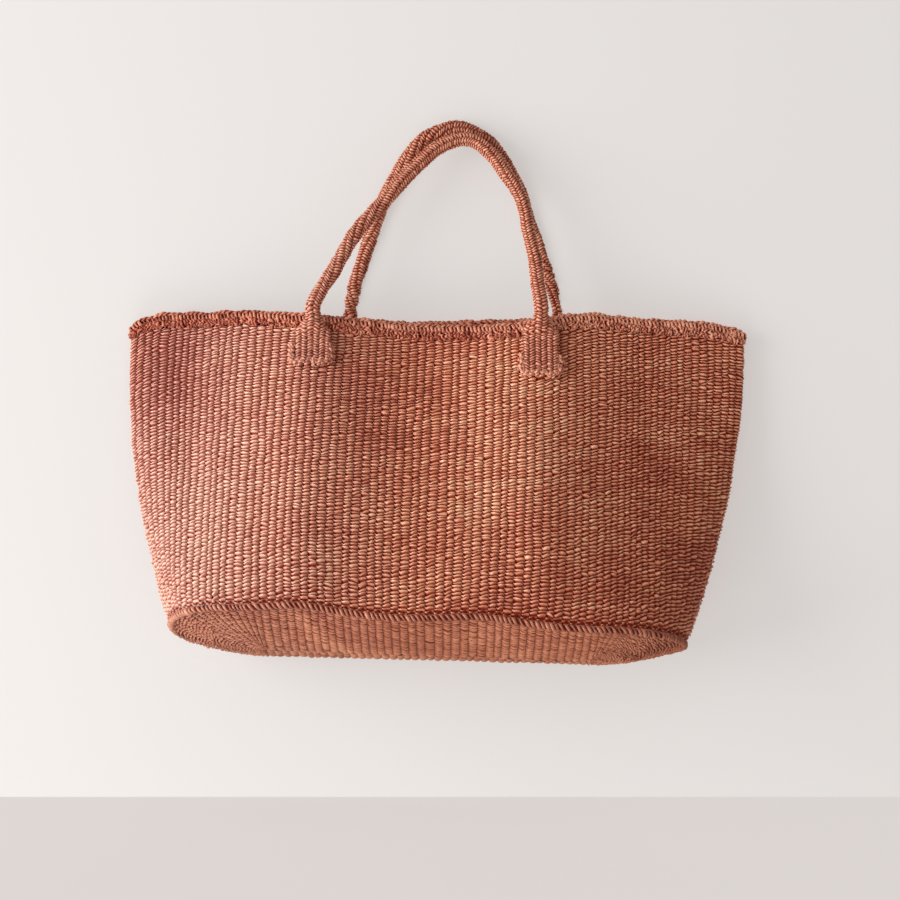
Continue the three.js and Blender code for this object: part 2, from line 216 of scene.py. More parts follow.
def interpolated(points, lengths, places):
    return np.stack([np.interp(places, lengths, points[:, k]) for k in range(points.shape[1])], -1)


def waves(x, table):
    return sum(rise * np.exp(-(((x - place) / reach) ** 2)) for place, reach, rise in table)


# Shape of the bag: girth lines, wall and base.
back_middle_y = BACK_Y - RIM_THICKNESS / 2
base_round = BASE_DEPTH / 2
PLAN_STEPS = 400
LEVELS = 160


def facets(x, left, right):
    """How far forward the front stands, from 0 at its two folds to 1 between its two ridges."""
    rise = np.minimum((x - left) / (LEFT_RIDGE_X - left), (right - x) / (right - RIGHT_RIDGE_X))
    rise = rise - FACET_ROUND * np.log1p(np.exp((rise - 1) / FACET_ROUND))
    rise = np.clip(rise, 0, 1)
    return np.sqrt((rise ** 2 + 2 * FOLD_ROUND * rise) / (1 + 2 * FOLD_ROUND))


def front_rise(x, level):
    """The front stands out along a ridge below each tab and sinks in between the two."""
    ridges = 0
    for ridge_x in (LEFT_RIDGE_X, RIGHT_RIDGE_X):
        away = np.sqrt((x - ridge_x) ** 2 + RIDGE_TIP ** 2) - RIDGE_TIP
        ridges = ridges + RIDGE_RISE * np.exp(-away / RIDGE_REACH)
    between = np.clip((x - LEFT_RIDGE_X) / (RIGHT_RIDGE_X - LEFT_RIDGE_X), 0, 1)
    hollow = HOLLOW_DEPTH * level * (0.5 - 0.5 * np.cos(TURN * between))
    return ridges * (1 - math.exp(-level / RIDGE_FADE)) - hollow


def half_plan(level, is_front):
    """The front or back half of the girth line at one level, from its left fold to its right one."""
    width = (lerp(BASE_LENGTH, MOUTH_WIDTH, math.sin(level ** WALL_WIDENING * math.pi / 2))
             + WALL_BELLY * math.sin(level * math.pi) - WALL_THICKNESS)
    flare = lerp(1 - level, (1 - level) ** 2, WALL_FLARE_CURVE)
    depth = lerp(MOUTH_DEPTH, BASE_DEPTH, flare) - WALL_THICKNESS
    centre_x = lerp(BASE_CENTRE_X, MOUTH_CENTRE_X, level)
    across = -np.cos(np.linspace(0, math.pi, PLAN_STEPS + 1))
    x = centre_x + across * width / 2
    flatness = math.sin(level ** FACET_START * math.pi / 2)
    fold = lerp(0.5, MOUTH_FOLD_SHARE, flatness)
    if is_front:
        rounded = np.sqrt(np.maximum(0, 1 - np.abs(across) ** BASE_FRONT_POWER))
        bulge = lerp(rounded, facets(x, x[0], x[-1]), flatness)
        y = back_middle_y - depth * lerp(fold, 1, bulge) - front_rise(x, level)
    else:
        straight = 1 - lerp(base_round, MOUTH_FOLD_LENGTH, level) / (width / 2)
        past = np.maximum(0, np.abs(across) - straight) / (1 - straight)
        y = back_middle_y - depth * fold * (1 - np.sqrt(np.maximum(0, 1 - past ** 2)))
    return np.stack([x, y], -1)


def along_line(points, shares):
    lengths = lengths_along(points)
    return interpolated(points, lengths, np.clip(shares, 0, 1) * lengths[-1])


def plan_line(level, girths):
    """Points of the girth line at one level: girth 0 is the left fold, 0.5 the right one."""
    wrapped = np.mod(girths, 1)
    front = along_line(half_plan(level, True), wrapped * 2)
    back = along_line(half_plan(level, False), 2 - wrapped * 2)
    return np.where((wrapped < 0.5)[:, None], front, back)


def seam_z(plan):
    """The height of the seam between wall and base, which tilts down to the back."""
    forward = (back_middle_y - plan[..., 1]) / (BASE_DEPTH - WALL_THICKNESS)
    aside = plan[..., 0] - BASE_CENTRE_X
    flat = lerp(BASE_BACK_Z - BASE_BACK_FALL * aside, BASE_FRONT_Z - BASE_FRONT_FALL * aside, forward)
    return flat + waves(plan[..., 0], SEAM_WAVES) * np.clip(forward, 0, 1) ** 4


def rim_top_z(plan):
    forward = (back_middle_y - plan[..., 1]) / (MOUTH_DEPTH - WALL_THICKNESS)
    dip = MOUTH_DIP * forward * np.exp(-((plan[..., 0] / MOUTH_DIP_REACH) ** 2))
    across = (plan[..., 0] - MOUTH_CENTRE_X) / (MOUTH_WIDTH / 2)
    left = LEFT_CORNER_DROP * np.maximum(0, -across) ** LEFT_CORNER_POWER
    right = RIGHT_CORNER_DROP * np.maximum(0, across) ** RIGHT_CORNER_POWER
    uneven = waves(plan[..., 0], RIM_WAVES)
    return MOUTH_TOP_Z - dip - left - right + uneven


def wall_top_z(plan):
    return rim_top_z(plan) - RIM_BRAID_DIAMETER - RIM_HEIGHT - 2 * CLEARANCE


def ripple(girths, heights, count, longest, seed):
    """Soft unevenness over the wall, about 1 at most, that joins up round the girth."""
    random = default_rng(seed)
    total = np.zeros(np.broadcast_shapes(girths.shape, heights.shape))
    for _ in range(count):
        turns = random.integers(2, 22)
        rise = random.uniform(0.5, 3.5) / longest
        phase = random.uniform(0, TURN)
        total = total + np.sin(TURN * (turns * girths + rise * heights) + phase)
    return total / math.sqrt(count)


class Wall:
    """The wall's middle surface as a table of points, one row a level and one column a girth."""

    def __init__(self, girths):
        levels = np.linspace(0, 1, LEVELS + 1)
        plans = np.stack([plan_line(level, girths) for level in levels])
        low, high = seam_z(plans[0]), wall_top_z(plans[-1])
        z = lerp(low[None], high[None], levels[:, None])
        self.points = np.concatenate([plans, z[..., None]], -1)
        self.points = self.settled(girths, levels)
        self.normals = surface_normals(self.points)
        self.top = self.points[-1]

    def settled(self, girths, levels):
        """The same surface with the folds and dents of a soft bag."""
        points = self.points
        front = smoothstep(-points[..., 1], 2, 16) * (np.mod(girths, 1) < 0.5)[None]
        fade = np.sin(np.pi * np.clip(levels, 0.02, 1) ** 1.6)[:, None] * 0.35 + levels[:, None] ** 2 * 0.65
        folds = waves(points[..., 0], FRONT_FOLDS) * front * fade
        edge = np.sin(np.pi * levels)[:, None]
        dents = ripple(girths[None], levels[:, None] * 280, count=14, longest=260, seed=5)
        rise = folds + DENT_DEPTH * edge * dents
        return points + surface_normals(points) * rise[..., None]

    def at(self, levels):
        """Points and normals at an array of levels, with one column for each girth."""
        place = np.clip(levels, 0, 1) * LEVELS
        row = np.minimum(place.astype(int), LEVELS - 1)
        share = (place - row)[..., None]
        column = np.arange(self.points.shape[1])[None]
        points = lerp(self.points[row, column], self.points[row + 1, column], share)
        normals = lerp(self.normals[row, column], self.normals[row + 1, column], share)
        return points, unit(normals)


def surface_normals(points):
    across = np.roll(points, -1, 1) - np.roll(points, 1, 1)
    return unit(np.cross(across, np.gradient(points, axis=0)))


# Twined weave: each stitch is a slanting lens over one rib, and hollows lie between the stitches, which the
# materials paint dark as shade.
def cell(place):
    """The number of the rib, row or strip that a place lies in."""
    return np.floor(place + 1e-6).astype(int)


def smooth_pick(table, rib, row):
    """Values of a table of random numbers, joined smoothly from stitch to stitch."""
    rows, ribs = table.shape
    i, j = np.floor(rib).astype(int), np.floor(row).astype(int)
    s, t = smoothstep(rib - i, 0, 1), smoothstep(row - j, 0, 1)
    pick = lambda a, b: table[np.mod(b, rows), np.mod(a, ribs)]
    return lerp(lerp(pick(i, j), pick(i + 1, j), s), lerp(pick(i, j + 1), pick(i + 1, j + 1), s), t)


def yarn_tones(random, rows, ribs):
    """Each row is worked with two yarns that take turns in front, and a yarn's shade drifts slowly."""
    yarns = random.normal(0, 1, (rows, 2, ribs))
    reach = np.exp(-0.5 * (np.arange(-4, 5) / 2.0) ** 2)
    drift = sum(weight * np.roll(yarns, shift, 2) for shift, weight in zip(range(-4, 5), reach))
    drift = drift / np.sqrt((reach ** 2).sum())
    i, j = np.arange(ribs)[None], np.arange(rows)[:, None]
    return 0.85 * drift[j, (i + j) % 2, i] + 0.3 * random.normal(0, 1, (rows, ribs))


def twine(rib, row, ribs, relief, slant, seed, groove=0.74, course=1.1, chevron=False):
    """For each point of a weave: its shift along the rib in rows, its height, tone and hollowness."""
    random = default_rng(seed)
    rows = int(math.ceil(row.max())) + 3
    thickness = random.normal(1, 0.13, (rows, ribs))
    tones = yarn_tones(random, rows, ribs)
    wander = random.normal(0, 1, (rows, ribs))
    fullness = random.normal(0, 0.22, ribs)
    lean = random.normal(1, 0.4, (rows, ribs))
    i = cell(rib)
    worked = row + 0.5 * (i % 2)
    j = cell(worked)
    across = 2 * np.clip(rib - i, 0, 1) - 1
    over = 2 * np.clip(worked - j, 0, 1) - 1
    i, j = np.mod(i, ribs), np.clip(j, 0, rows - 1)
    lens = np.sqrt(np.clip(1 - groove * np.abs(across) ** 1.7 - course * np.abs(over) ** 1.35, 0, 1))
    saw = np.interp(across, [-1, -0.75, 0.75, 1], [0, -1, 1, 0])
    if chevron:
        saw = saw * np.where(i % 2, -1, 1)
    shift = slant * saw * lean[j, i] + 0.2 * smooth_pick(wander, rib, row)
    height = relief * (lens * thickness[j, i] - 0.69) + 0.5 * fullness[i] * (1 - across ** 2)
    height = np.maximum(height, -0.66 * relief)
    # Hollowness between rows and between ribs, which the materials paint as shade.
    gap = smoothstep(np.abs(over), 0.2, 0.78)
    valley = smoothstep(np.abs(across), 0.4, 0.95)
    return shift, height, tones[j, i], 0.9 * gap + 0.22 * valley


# Meshes.
def add_object(name, data):
    added = bpy.data.objects.new(name, data)
    scene.collection.objects.link(added)
    return added


def new_mesh(name, points, faces, loops=None, **layers):
    """A smooth mesh in metres from points and four-sided faces, with its per-point values."""
    mesh = bpy.data.meshes.new(name)
    faces = np.ascontiguousarray(faces, dtype=np.int32)
    mesh.vertices.add(len(points))
    mesh.vertices.foreach_set("co", (points * MM).astype(np.float32).ravel())
    mesh.loops.add(faces.size)
    mesh.loops.foreach_set("vertex_index", faces.ravel())
    mesh.polygons.add(len(faces))
    mesh.polygons.foreach_set("loop_start", np.arange(len(faces), dtype=np.int32) * 4)
    mesh.polygons.foreach_set("use_smooth", np.ones(len(faces), dtype=bool))
    mesh.update(calc_edges=True)
    for layer, values in layers.items():
        attribute = mesh.attributes.new(layer, "FLOAT", "POINT")
        attribute.data.foreach_set("value", np.asarray(values, np.float32).ravel())
    for layer, values in (loops or {}).items():
        mesh.uv_layers.new(name=layer).data.foreach_set("uv", values.astype(np.float32).ravel())
    mesh.validate()
    return add_object(name, mesh)


def grid_faces(rows, columns, closed_rows=False):
    """The faces between the points of a grid whose columns join up round it."""
    down = np.arange(rows if closed_rows else rows - 1)
    a, b = (index.ravel() for index in np.meshgrid(down, np.arange(columns), indexing="ij"))
    c, d = (a + 1) % rows, (b + 1) % columns
    return np.stack([a * columns + b, a * columns + d, c * columns + d, c * columns + b], -1)


# One woven face of a piece: a grid of points with its values and its places in the weave.
Sheet = namedtuple("Sheet", "points normals rib row tone hollow")


def corner_pairs(*grids):
    """Two values of a grid's points at the four corners of each of its faces."""
    corners = [np.stack([grid[:-1, :-1], grid[:-1, 1:], grid[1:, 1:], grid[1:, :-1]], -1) for grid in grids]
    return np.stack(corners, -1).reshape(-1, 4, 2)


def weave_pairs(sheet):
    """The rib and row at each corner of each face, which go on past the last rib."""
    last = 2 * sheet.rib[:, -1:] - sheet.rib[:, -2:-1]
    return corner_pairs(np.hstack([sheet.rib, last]), np.hstack([sheet.row, sheet.row[:, :1]]))


MAP_MARGIN = 0.006
RING_STRIPS = 4
RIM_STRIPS = 8


def inset(share, low=0, high=1):
    return lerp(low + MAP_MARGIN, high - MAP_MARGIN, share)


def folded_map(pairs, strips, low, high, share_low, share_high):
    """Lays a long ring of faces on the square map in strips, one above the other."""
    rib, row = pairs[..., 0], pairs[..., 1]
    per_strip = RIBS / strips
    strip = cell(rib.min(1, keepdims=True) / per_strip)
    u = inset((rib - strip * per_strip) / per_strip)
    v = (strip + inset((row - low) / (high - low), share_low, share_high)) / strips
    return np.stack([u, v], -1)


def ring_piece(name, outer, inner):
    """A closed ring between two woven faces that have the same columns."""
    rows_out, columns = outer.rib.shape
    rows_in = len(inner.rib)
    first = rows_out * columns
    faces_out = grid_faces(rows_out, columns)
    faces_in = first + grid_faces(rows_in, columns)[:, ::-1]
    column = np.arange(columns)
    beside = (column + 1) % columns
    foot = np.stack([column, first + column, first + beside, beside], -1)
    head_out, head_in = first - columns, first + (rows_in - 1) * columns
    head = np.stack([head_out + column, head_out + beside, head_in + beside, head_in + column], -1)
    weave_out, weave_in = weave_pairs(outer), weave_pairs(inner)[:, ::-1]
    limits = outer.row.min(), outer.row.max()
    bake_out = folded_map(weave_out, RING_STRIPS, *limits, 0, 0.6)
    bake_in = folded_map(weave_in, RING_STRIPS, *limits, 0.6, 0.96)
    weave_caps = np.zeros((len(foot) + len(head), 4, 2))
    bake_caps = weave_caps + np.array([0.5, 0.98]) / RING_STRIPS
    bake_caps += np.array([[0, 0], [0.001, 0], [0.001, 0.001], [0, 0.001]])
    points, normals, _, _, tone, hollow = (
        np.concatenate([grid.reshape(-1, *grid.shape[2:]) for grid in pair]) for pair in zip(outer, inner))
    piece = new_mesh(
        name, points, np.concatenate([faces_out, faces_in, foot, head]),
        loops={"OFBake": np.concatenate([bake_out, bake_in, bake_caps]),
               "Weave": np.concatenate([weave_out, weave_in, weave_caps])},
        tone=tone, hollow=hollow)
    piece.data.normals_split_custom_set_from_vertices(normals.astype(np.float32))
    return piece


def make_rings(name, sheets, rings, rows, material, node):
    """Cuts a piece's outer and inner face, each with its steps to a row, into rings of as many rows."""
    for ring in range(rings):
        low, high = ring * rows // rings, (ring + 1) * rows // rings
        cuts = [Sheet(*(grid[low * steps:high * steps + 1] for grid in sheet)) for sheet, steps in sheets]
        dress(ring_piece(f"{name}_{ring + 1}", *cuts), material, name, node)


# The ribs differ in width by chance, and along the front by place, so each column's share of the girth
# comes from them.
half = RIBS // 2
rib_widths = np.clip(default_rng(12).normal(1, 0.08, RIBS), 0.78, 1.22)
front_widths = np.interp(np.arange(half) / half, *zip(*FRONT_RIB_WIDTHS))
rib_widths[:half] *= front_widths
rib_edges = np.concatenate([
    [0], np.cumsum(rib_widths[:half]) / rib_widths[:half].sum() / 2,
    0.5 + np.cumsum(rib_widths[half:]) / rib_widths[half:].sum() / 2])
columns = np.arange(RIBS * COLUMNS) / COLUMNS
girths = np.interp(columns, np.arange(RIBS + 1), rib_edges)
wall = Wall(girths)
wall_start = (BASE_BRAID_DIAMETER / 2 - 1) / WALL_LENGTH
WALL_END = 1.03


def row_level(rows):
    """Rows lie a little closer together towards the rim, and the last go on under it."""
    share = rows / WALL_ROWS
    return lerp(wall_start, WALL_END, share * (1 + ROW_STRETCH * (1 - share)))


def light_and_shade_patches(points):
    """Painted shade about some places on the front, and painted light where the amount is below zero: how
    much darker its colour is there.
    """
    darker = 0
    for x, z, width, height, depth in LIGHT_AND_SHADE_PATCHES:
        away = ((points[..., 0] - x) / width) ** 2 + ((points[..., 2] - z) / height) ** 2
        darker = darker + depth * np.exp(-away)
    return darker * (points[..., 1] < back_middle_y - 4)


def weave_grid(rows, steps):
    """The rib and row of each point of a sheet, with a share that fades out at its first and last rows."""
    rib, row = np.meshgrid(columns, np.linspace(0, rows, rows * steps + 1))
    return rib, row, np.clip(np.minimum(row, rows - row) / 2, 0, 1)


def side_sheet(steps, facing, seed):
    """One face of the wall, the outside one with facing 1."""
    rib, row, ends = weave_grid(WALL_ROWS, steps)
    shift, height, tone, hollow = twine(rib, row, RIBS, WALL_RELIEF, STITCH_SLANT, seed)
    gap = np.exp(-(((row - 0.7) / 0.75) ** 2)) * np.sin(math.pi * (rib % 1)) ** 1.2
    tuck = smoothstep(row, WALL_ROWS - 2.6, WALL_ROWS - 0.8)
    points, normals = wall.at(row_level(row + shift * ends))
    sways = default_rng(seed + 1).normal(0, RIB_SWAY, (WALL_ROWS // SWAY_ROWS + 2, RIBS))
    sway = smooth_pick(sways, rib, row / SWAY_ROWS) * ends
    points = points + unit(np.roll(points, -1, 1) - np.roll(points, 1, 1)) * sway[..., None]
    # Painted shade and light: patches of the front's colour made darker or paler.
    tone = tone - light_and_shade_patches(points)
    offset = WALL_THICKNESS / 2 + height - FOOT_SINK * gap - TUCK_SINK * tuck
    points = points + facing * normals * offset[..., None]
    # Painted shade: the sunken foot of each rib and the rows tucked under the rim count as hollow and are
    # painted dark.
    hollow = np.maximum(hollow, np.maximum(gap, tuck))
    return Sheet(points, surface_normals(points) * facing, rib, row, tone, hollow)


def make_side(material):
    outside = side_sheet(OUTER_STEPS, facing=1, seed=31), OUTER_STEPS
    inside = side_sheet(INNER_STEPS, facing=-1, seed=47), INNER_STEPS
    make_rings("side_weave", (outside, inside), WALL_COURSES, WALL_ROWS, material, "side_wall")


def dress(piece, material, slot, *nodes, body="bag"):
    piece.data.materials.append(material)
    if body:
        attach(piece, body)
    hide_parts(*nodes)


# Base: rounds from the edge in to the spine, with fewer ribs towards the middle of each fan.
spine_half = (BASE_LENGTH - BASE_DEPTH) / 2
spine_y = back_middle_y - (BASE_DEPTH - WALL_THICKNESS) / 2
FAN_RIBS = 16
TWOS_WITHIN = 0.56
FOURS_WITHIN = 0.28
# Paler streaks on the base, painted light where its creases catch the light: a point of each, its lean,
# width and length, and by how much.
PAINTED_LIGHT_STREAKS = [(-108, -92, 0.55, 9, 62, 2.6), (42, -112, 0.7, 34, 44, 1.5), (-30, -40, 0, 90, 26, 0.8)]


def base_sheet(steps, facing, seed):
    """One face of the base. In its two fans the ribs merge in twos and then in fours on the way in."""
    edge = wall.points[0]
    spine_x = np.clip(edge[:, 0], BASE_CENTRE_X - spine_half, BASE_CENTRE_X + spine_half)
    spine = np.stack([spine_x, np.full_like(spine_x, spine_y)], -1)
    rib, row, ends = weave_grid(BASE_ROUNDS, steps)
    from_fold = np.mod(rib + half / 2, half) - half / 2
    reach_guess = 1 - row / BASE_ROUNDS
    merged = np.where(reach_guess > TWOS_WITHIN, 1, np.where(reach_guess > FOURS_WITHIN, 2, 4))
    merged = np.where(np.abs(from_fold) < FAN_RIBS - 1e-6, merged, 1)
    fold = rib - from_fold
    woven_rib = fold + cell(from_fold / merged) * merged + np.mod(from_fold / merged, 1)
    woven_rib = np.where(merged > 1, woven_rib, rib)
    shift, height, tone, hollow = twine(woven_rib, row, RIBS, BASE_RELIEF, BASE_SLANT, seed)
    narrow = np.where(np.abs(from_fold) < FAN_RIBS, np.clip(reach_guess * merged * 1.4, 0.15, 1), 0.9)
    last = 1 - (BASE_BRAID_DIAMETER / 2 - 2) / base_round
    reach = lerp(last, 0, np.clip((row + shift * ends) / BASE_ROUNDS, 0, 1))
    plan = lerp(spine[None], edge[None, :, :2], reach[..., None])
    z = seam_z(plan) - BASE_SAG * (1 - reach ** 2)
    # Painted light: paler streaks along the base's creases.
    for x, y, lean, width, length, depth in PAINTED_LIGHT_STREAKS:
        along = (plan[..., 1] - y) / length
        off_line = (plan[..., 0] - x - lean * (plan[..., 1] - y)) / width
        tone = tone + depth * np.exp(-(off_line ** 2) - along ** 4)
    offset = facing * (BASE_THICKNESS / 2 - 0.5 + height * narrow)
    points = np.concatenate([plan, (z + offset)[..., None]], -1)
    # The hollows' painted shade follows the relief, weaker where it is low near the spine.
    return Sheet(points, surface_normals(points) * facing, rib, row, tone, hollow * lerp(0.6, 1.1, narrow))


def make_base(material):
    under = base_sheet(OUTER_STEPS, facing=-1, seed=63), OUTER_STEPS
    top = base_sheet(INNER_STEPS, facing=1, seed=64), INNER_STEPS
    make_rings("base_weave", (top, under), BASE_RINGS, BASE_ROUNDS, material, "base_panel")


# Ropes: strands that wind round a path. Each of its points is a place and the way the path looks there.
def path_frames(path, outward, closed):
    along = unit(np.roll(path, -1, 0) - np.roll(path, 1, 0)) if closed else unit(np.gradient(path, axis=0))
    out = unit(outward - (outward * along).sum(-1, keepdims=True) * along)
    return along, out, np.cross(along, out)


def resample(path, step, closed=False):
    points = np.vstack([path, path[:1]]) if closed else path
    lengths = lengths_along(points)
    count = max(4, int(round(lengths[-1] / step)))
    places = np.linspace(0, lengths[-1], count + (0 if closed else 1), endpoint=not closed)
    return interpolated(points, lengths, places)


def join(parts):
    """One mesh from several, each of them points, faces, tone and hollow."""
    points, faces, tone, hollow = zip(*parts)
    firsts = np.cumsum([0] + [len(part) for part in points[:-1]])
    faces = [part + first for part, first in zip(faces, firsts)]
    return [np.concatenate(values) for values in (points, faces, tone, hollow)]


def rope(path, closed, strand, spread, pitch, plies, sides=8, seed=1, stray=0.0, uneven=0.0):
    """Strands wound round a path: points, faces, tone and hollow of one joined mesh."""
    random = default_rng(seed)
    path, outward = path[:, :3], path[:, 3:]
    _, out, aside = path_frames(path, outward, closed)
    travelled = lengths_along(path)
    total = travelled[-1] + (np.linalg.norm(path[0] - path[-1]) if closed else 0)
    turns = round(total / pitch) if closed else total / pitch
    phase = travelled / total * turns * TURN
    lap = travelled / total * TURN
    # The turns drift a little along the way, and by chance where the rope is uneven.
    phase = phase + 0.25 * np.sin(lap * 9)
    if uneven:
        shifts = random.normal(0, 4 * uneven, int(total / 13) + 2)
        shifts[-1] = shifts[0]
        phase = phase + np.interp(lap, np.linspace(0, TURN, len(shifts)), shifts)
    if stray:
        wobble = sum(np.sin(lap * count + random.uniform(0, 6.28)) for count in random.integers(9, 90, 8))
        path = path + out * (stray * wobble / 2.8)[:, None] * 0.6
    around = np.arange(sides) / sides * TURN
    stitch = abs(pitch / plies)
    strands = []
    for ply in range(plies):
        angle = phase + ply * TURN / plies
        centre = path + spread * (np.cos(angle)[:, None] * out + np.sin(angle)[:, None] * aside)
        _, normal, side = path_frames(centre, centre - path + 1e-6, closed)
        knots = random.normal(0, 1, int(total / stitch) + 3)
        knot = np.interp(travelled / stitch, np.arange(len(knots)), knots)
        swell = 1 + 0.07 * np.sin(travelled / 3.1 + ply) + random.normal(0, 0.03, len(path)) + uneven * knot
        ring = np.cos(around)[:, None] * normal[:, None] + np.sin(around)[:, None] * side[:, None]
        points = centre[:, None] + ring * (strand / 2 * swell)[:, None, None]
        for end in [] if closed else [0, -1]:
            points[end] = centre[end] + (points[end] - centre[end]) * 0.35
        tone = np.repeat(knot, sides)
        # Painted shade on each strand's inner side, where it lies against the other strands.
        hollow = np.tile((0.5 - 0.5 * np.cos(around)) * 0.8, len(path))
        strands.append((points.reshape(-1, 3), grid_faces(len(path), sides, closed), tone, hollow))
    return join(strands)


def rope_piece(name, parts):
    points, faces, tone, hollow = join(parts)
    return new_mesh(name, points, faces, tone=tone, hollow=hollow)


def make_base_braid(material):
    """A twist round the base's edge, darker away from the left end, with a core that fills its hollows and
    is painted dark as their shade.
    """
    outward = wall.normals[0] + np.array([0, 0, -0.6])
    path = wall.points[0] + unit(outward) * 0.6
    path = resample(np.hstack([path, outward]), BASE_BRAID_STEP, closed=True)
    core = rope(path, True, **BASE_CORE)
    # Painted shade: the whole core takes the hollows' dark tone.
    core[3][:] = CORE_PAINTED_SHADE
    points, faces, tone, hollow = rope(path, True, **BASE_TWIST)
    twist = (points, faces, tone - 1.6 - 1.4 * smoothstep(points[:, 0], -230, -60), hollow)
    piece = rope_piece("base_edge_twist", [core, twist])
    dress(piece, material, "base_weave", "base_edge_braid")


# Rim: a roll bound by the ribs' ends, two strands to a wrap, with fine twists along its top.
RIM_SIDES = 36
RIM_COLUMNS = 15
RIM_RELIEF = 2.4
RIM_STRANDS = 2


def rim_line():
    """Places along the rim in ribs, the roll's middle line and its outward directions."""
    place = np.arange(RIBS * RIM_COLUMNS) / RIM_COLUMNS
    at = place * COLUMNS
    index = np.arange(len(columns) + 1)
    around = lambda values: interpolated(np.vstack([values, values[:1]]), index, at)
    middle = wall.top.copy()
    middle[:, 2] = rim_top_z(wall.top) - RIM_BRAID_DIAMETER - CLEARANCE - RIM_HEIGHT / 2
    outward = wall.normals[-1].copy()
    outward[:, 2] = 0
    middle, outward = around(middle), unit(around(outward))
    pinch = np.abs(outward[:, :1]) ** 3
    return place, middle - outward * pinch * RIM_PINCH, outward


def rim_relief(place, angle, seed):
    """For each point round the roll: its place in strands, and its wrap's height, hollowness and tone."""
    random = default_rng(seed)
    up_share = 4 * (1 + np.sin(angle)) + 0 * place
    stray = random.normal(0, 1, (8, RIBS))
    turn = place + 0.3 * np.sin(angle) + 0.2 * smooth_pick(stray, place, up_share)
    unlaid = random.normal(0, 1, (8, 3 * RIBS))
    strand_turn = RIM_STRANDS * turn + 0.3 * smooth_pick(unlaid, 3 * place, up_share)
    strand, wrap = np.mod(cell(strand_turn), RIM_STRANDS * RIBS), np.mod(cell(turn), RIBS)
    round_wrap = np.sin(math.pi * np.mod(turn, 1)) ** 0.6
    round_strand = np.sin(math.pi * np.mod(strand_turn, 1)) ** 1.3
    fullness = random.normal(1, 0.35, RIM_STRANDS * RIBS)[strand]
    lumps = random.normal(0, 0.6, (8, RIM_STRANDS * RIBS))
    height = (RIM_RELIEF * (0.4 * round_wrap + 0.6 * round_strand * fullness - 0.62)
              + smooth_pick(lumps, strand_turn, up_share) + random.normal(0, 0.3, RIBS)[wrap])
    # Painted shade between wraps and strands: hollowness that the materials paint dark.
    hollow = np.clip(1.35 - 0.45 * round_wrap - 1.0 * round_strand, 0, 1)
    return strand_turn, height, hollow, random.normal(0, 1.0, RIM_STRANDS * RIBS)[strand]


def make_rim(material):
    place, middle, outward = rim_line()
    angle = (np.arange(RIM_SIDES + 1) / RIM_SIDES * TURN - math.pi / 2)[:, None]
    place = np.append(place, RIBS)[None] + 0 * angle
    strand_turn, *values = rim_relief(place, angle, seed=9)
    height, hollow, tone = (value[:-1, :-1] for value in values)
    around = angle[:-1]
    out = (RIM_THICKNESS / 2 + 0.3 + height) * np.cos(around)
    up = (RIM_HEIGHT / 2 + height) * np.sin(around)
    points = middle[None] + outward[None] * out[..., None] + UP * up[..., None]
    # The painted shade is lighter where the roll turns round the bag's two ends.
    hollow = hollow * (1 - 0.6 * np.abs(outward[:, 0]) ** 3)
    tone = tone + rim_shade(points[..., 0])
    faces = grid_faces(RIM_SIDES, RIBS * RIM_COLUMNS, closed_rows=True)
    side = np.arange(RIM_SIDES + 1)[:, None] + 0 * place
    weave = corner_pairs(side * 4.5 / RIM_SIDES, strand_turn * 0.45)
    bake = folded_map(corner_pairs(place, side), RIM_STRIPS, 0, RIM_SIDES, 0, 1)
    piece = new_mesh("rim_wraps", points.reshape(-1, 3), faces, loops={"OFBake": bake, "Weave": weave},
                     tone=tone, hollow=hollow)
    dress(piece, material, "rim_weave", "rim_binding")


def rim_shade(x):
    """Painted shade at the rim's left end and painted light at its right: its colour is a little darker at
    the left end and lighter at the right.
    """
    return lerp(-1.5, 1.1, smoothstep(x, -230, 250))


def make_rim_braid(material):
    _, middle, outward = rim_line()
    crown_rise = RIM_HEIGHT / 2 + CLEARANCE + RIM_BRAID_DIAMETER / 2 - 0.2
    twists = []
    for out, up, step, strands in RIM_TWISTS:
        way = outward * out + UP * (up * crown_rise)
        path = resample(np.hstack([middle + way, unit(way)]), step, closed=True)
        points, faces, tone, hollow = rope(
            path, True, sides=7, seed=len(twists) + 5, stray=0.8, uneven=0.25, **strands)
        # Painted shade and light along the rim twists, as on the wraps.
        twists.append((points, faces, tone + rim_shade(points[:, 0]), hollow))
    piece = rope_piece("rim_edge_twists", twists)
    dress(piece, material, "rim_weave", "rim_edge_braid")


# Straps: each runs up from a flat tab, rolls into a cord, goes over the arch and down to its other tab.
def smooth_line(points, step):
    points = np.asarray(points, float)
    chord = lengths_along(points, 0.5)
    fine = np.linspace(0, chord[-1], 1200)
    curve = np.stack([hermite(chord, points[:, k], fine) for k in range(points.shape[1])], -1)
    return resample(curve, step)


def hermite(knots, values, places):
    slopes = np.gradient(values, knots)
    index = np.clip(np.searchsorted(knots, places) - 1, 0, len(knots) - 2)
    span = knots[index + 1] - knots[index]
    t = (places - knots[index]) / span
    return ((2 * t ** 3 - 3 * t ** 2 + 1) * values[index] + (t ** 3 - 2 * t ** 2 + t) * span * slopes[index]
            + (3 * t ** 2 - 2 * t ** 3) * values[index + 1] + (t ** 3 - t ** 2) * span * slopes[index + 1])


def column_at(x, is_front):
    top = wall.top
    side = girths < 0.5 if is_front else girths >= 0.5
    return int(np.where(side, np.abs(top[:, 0] - x), 1e9).argmin())


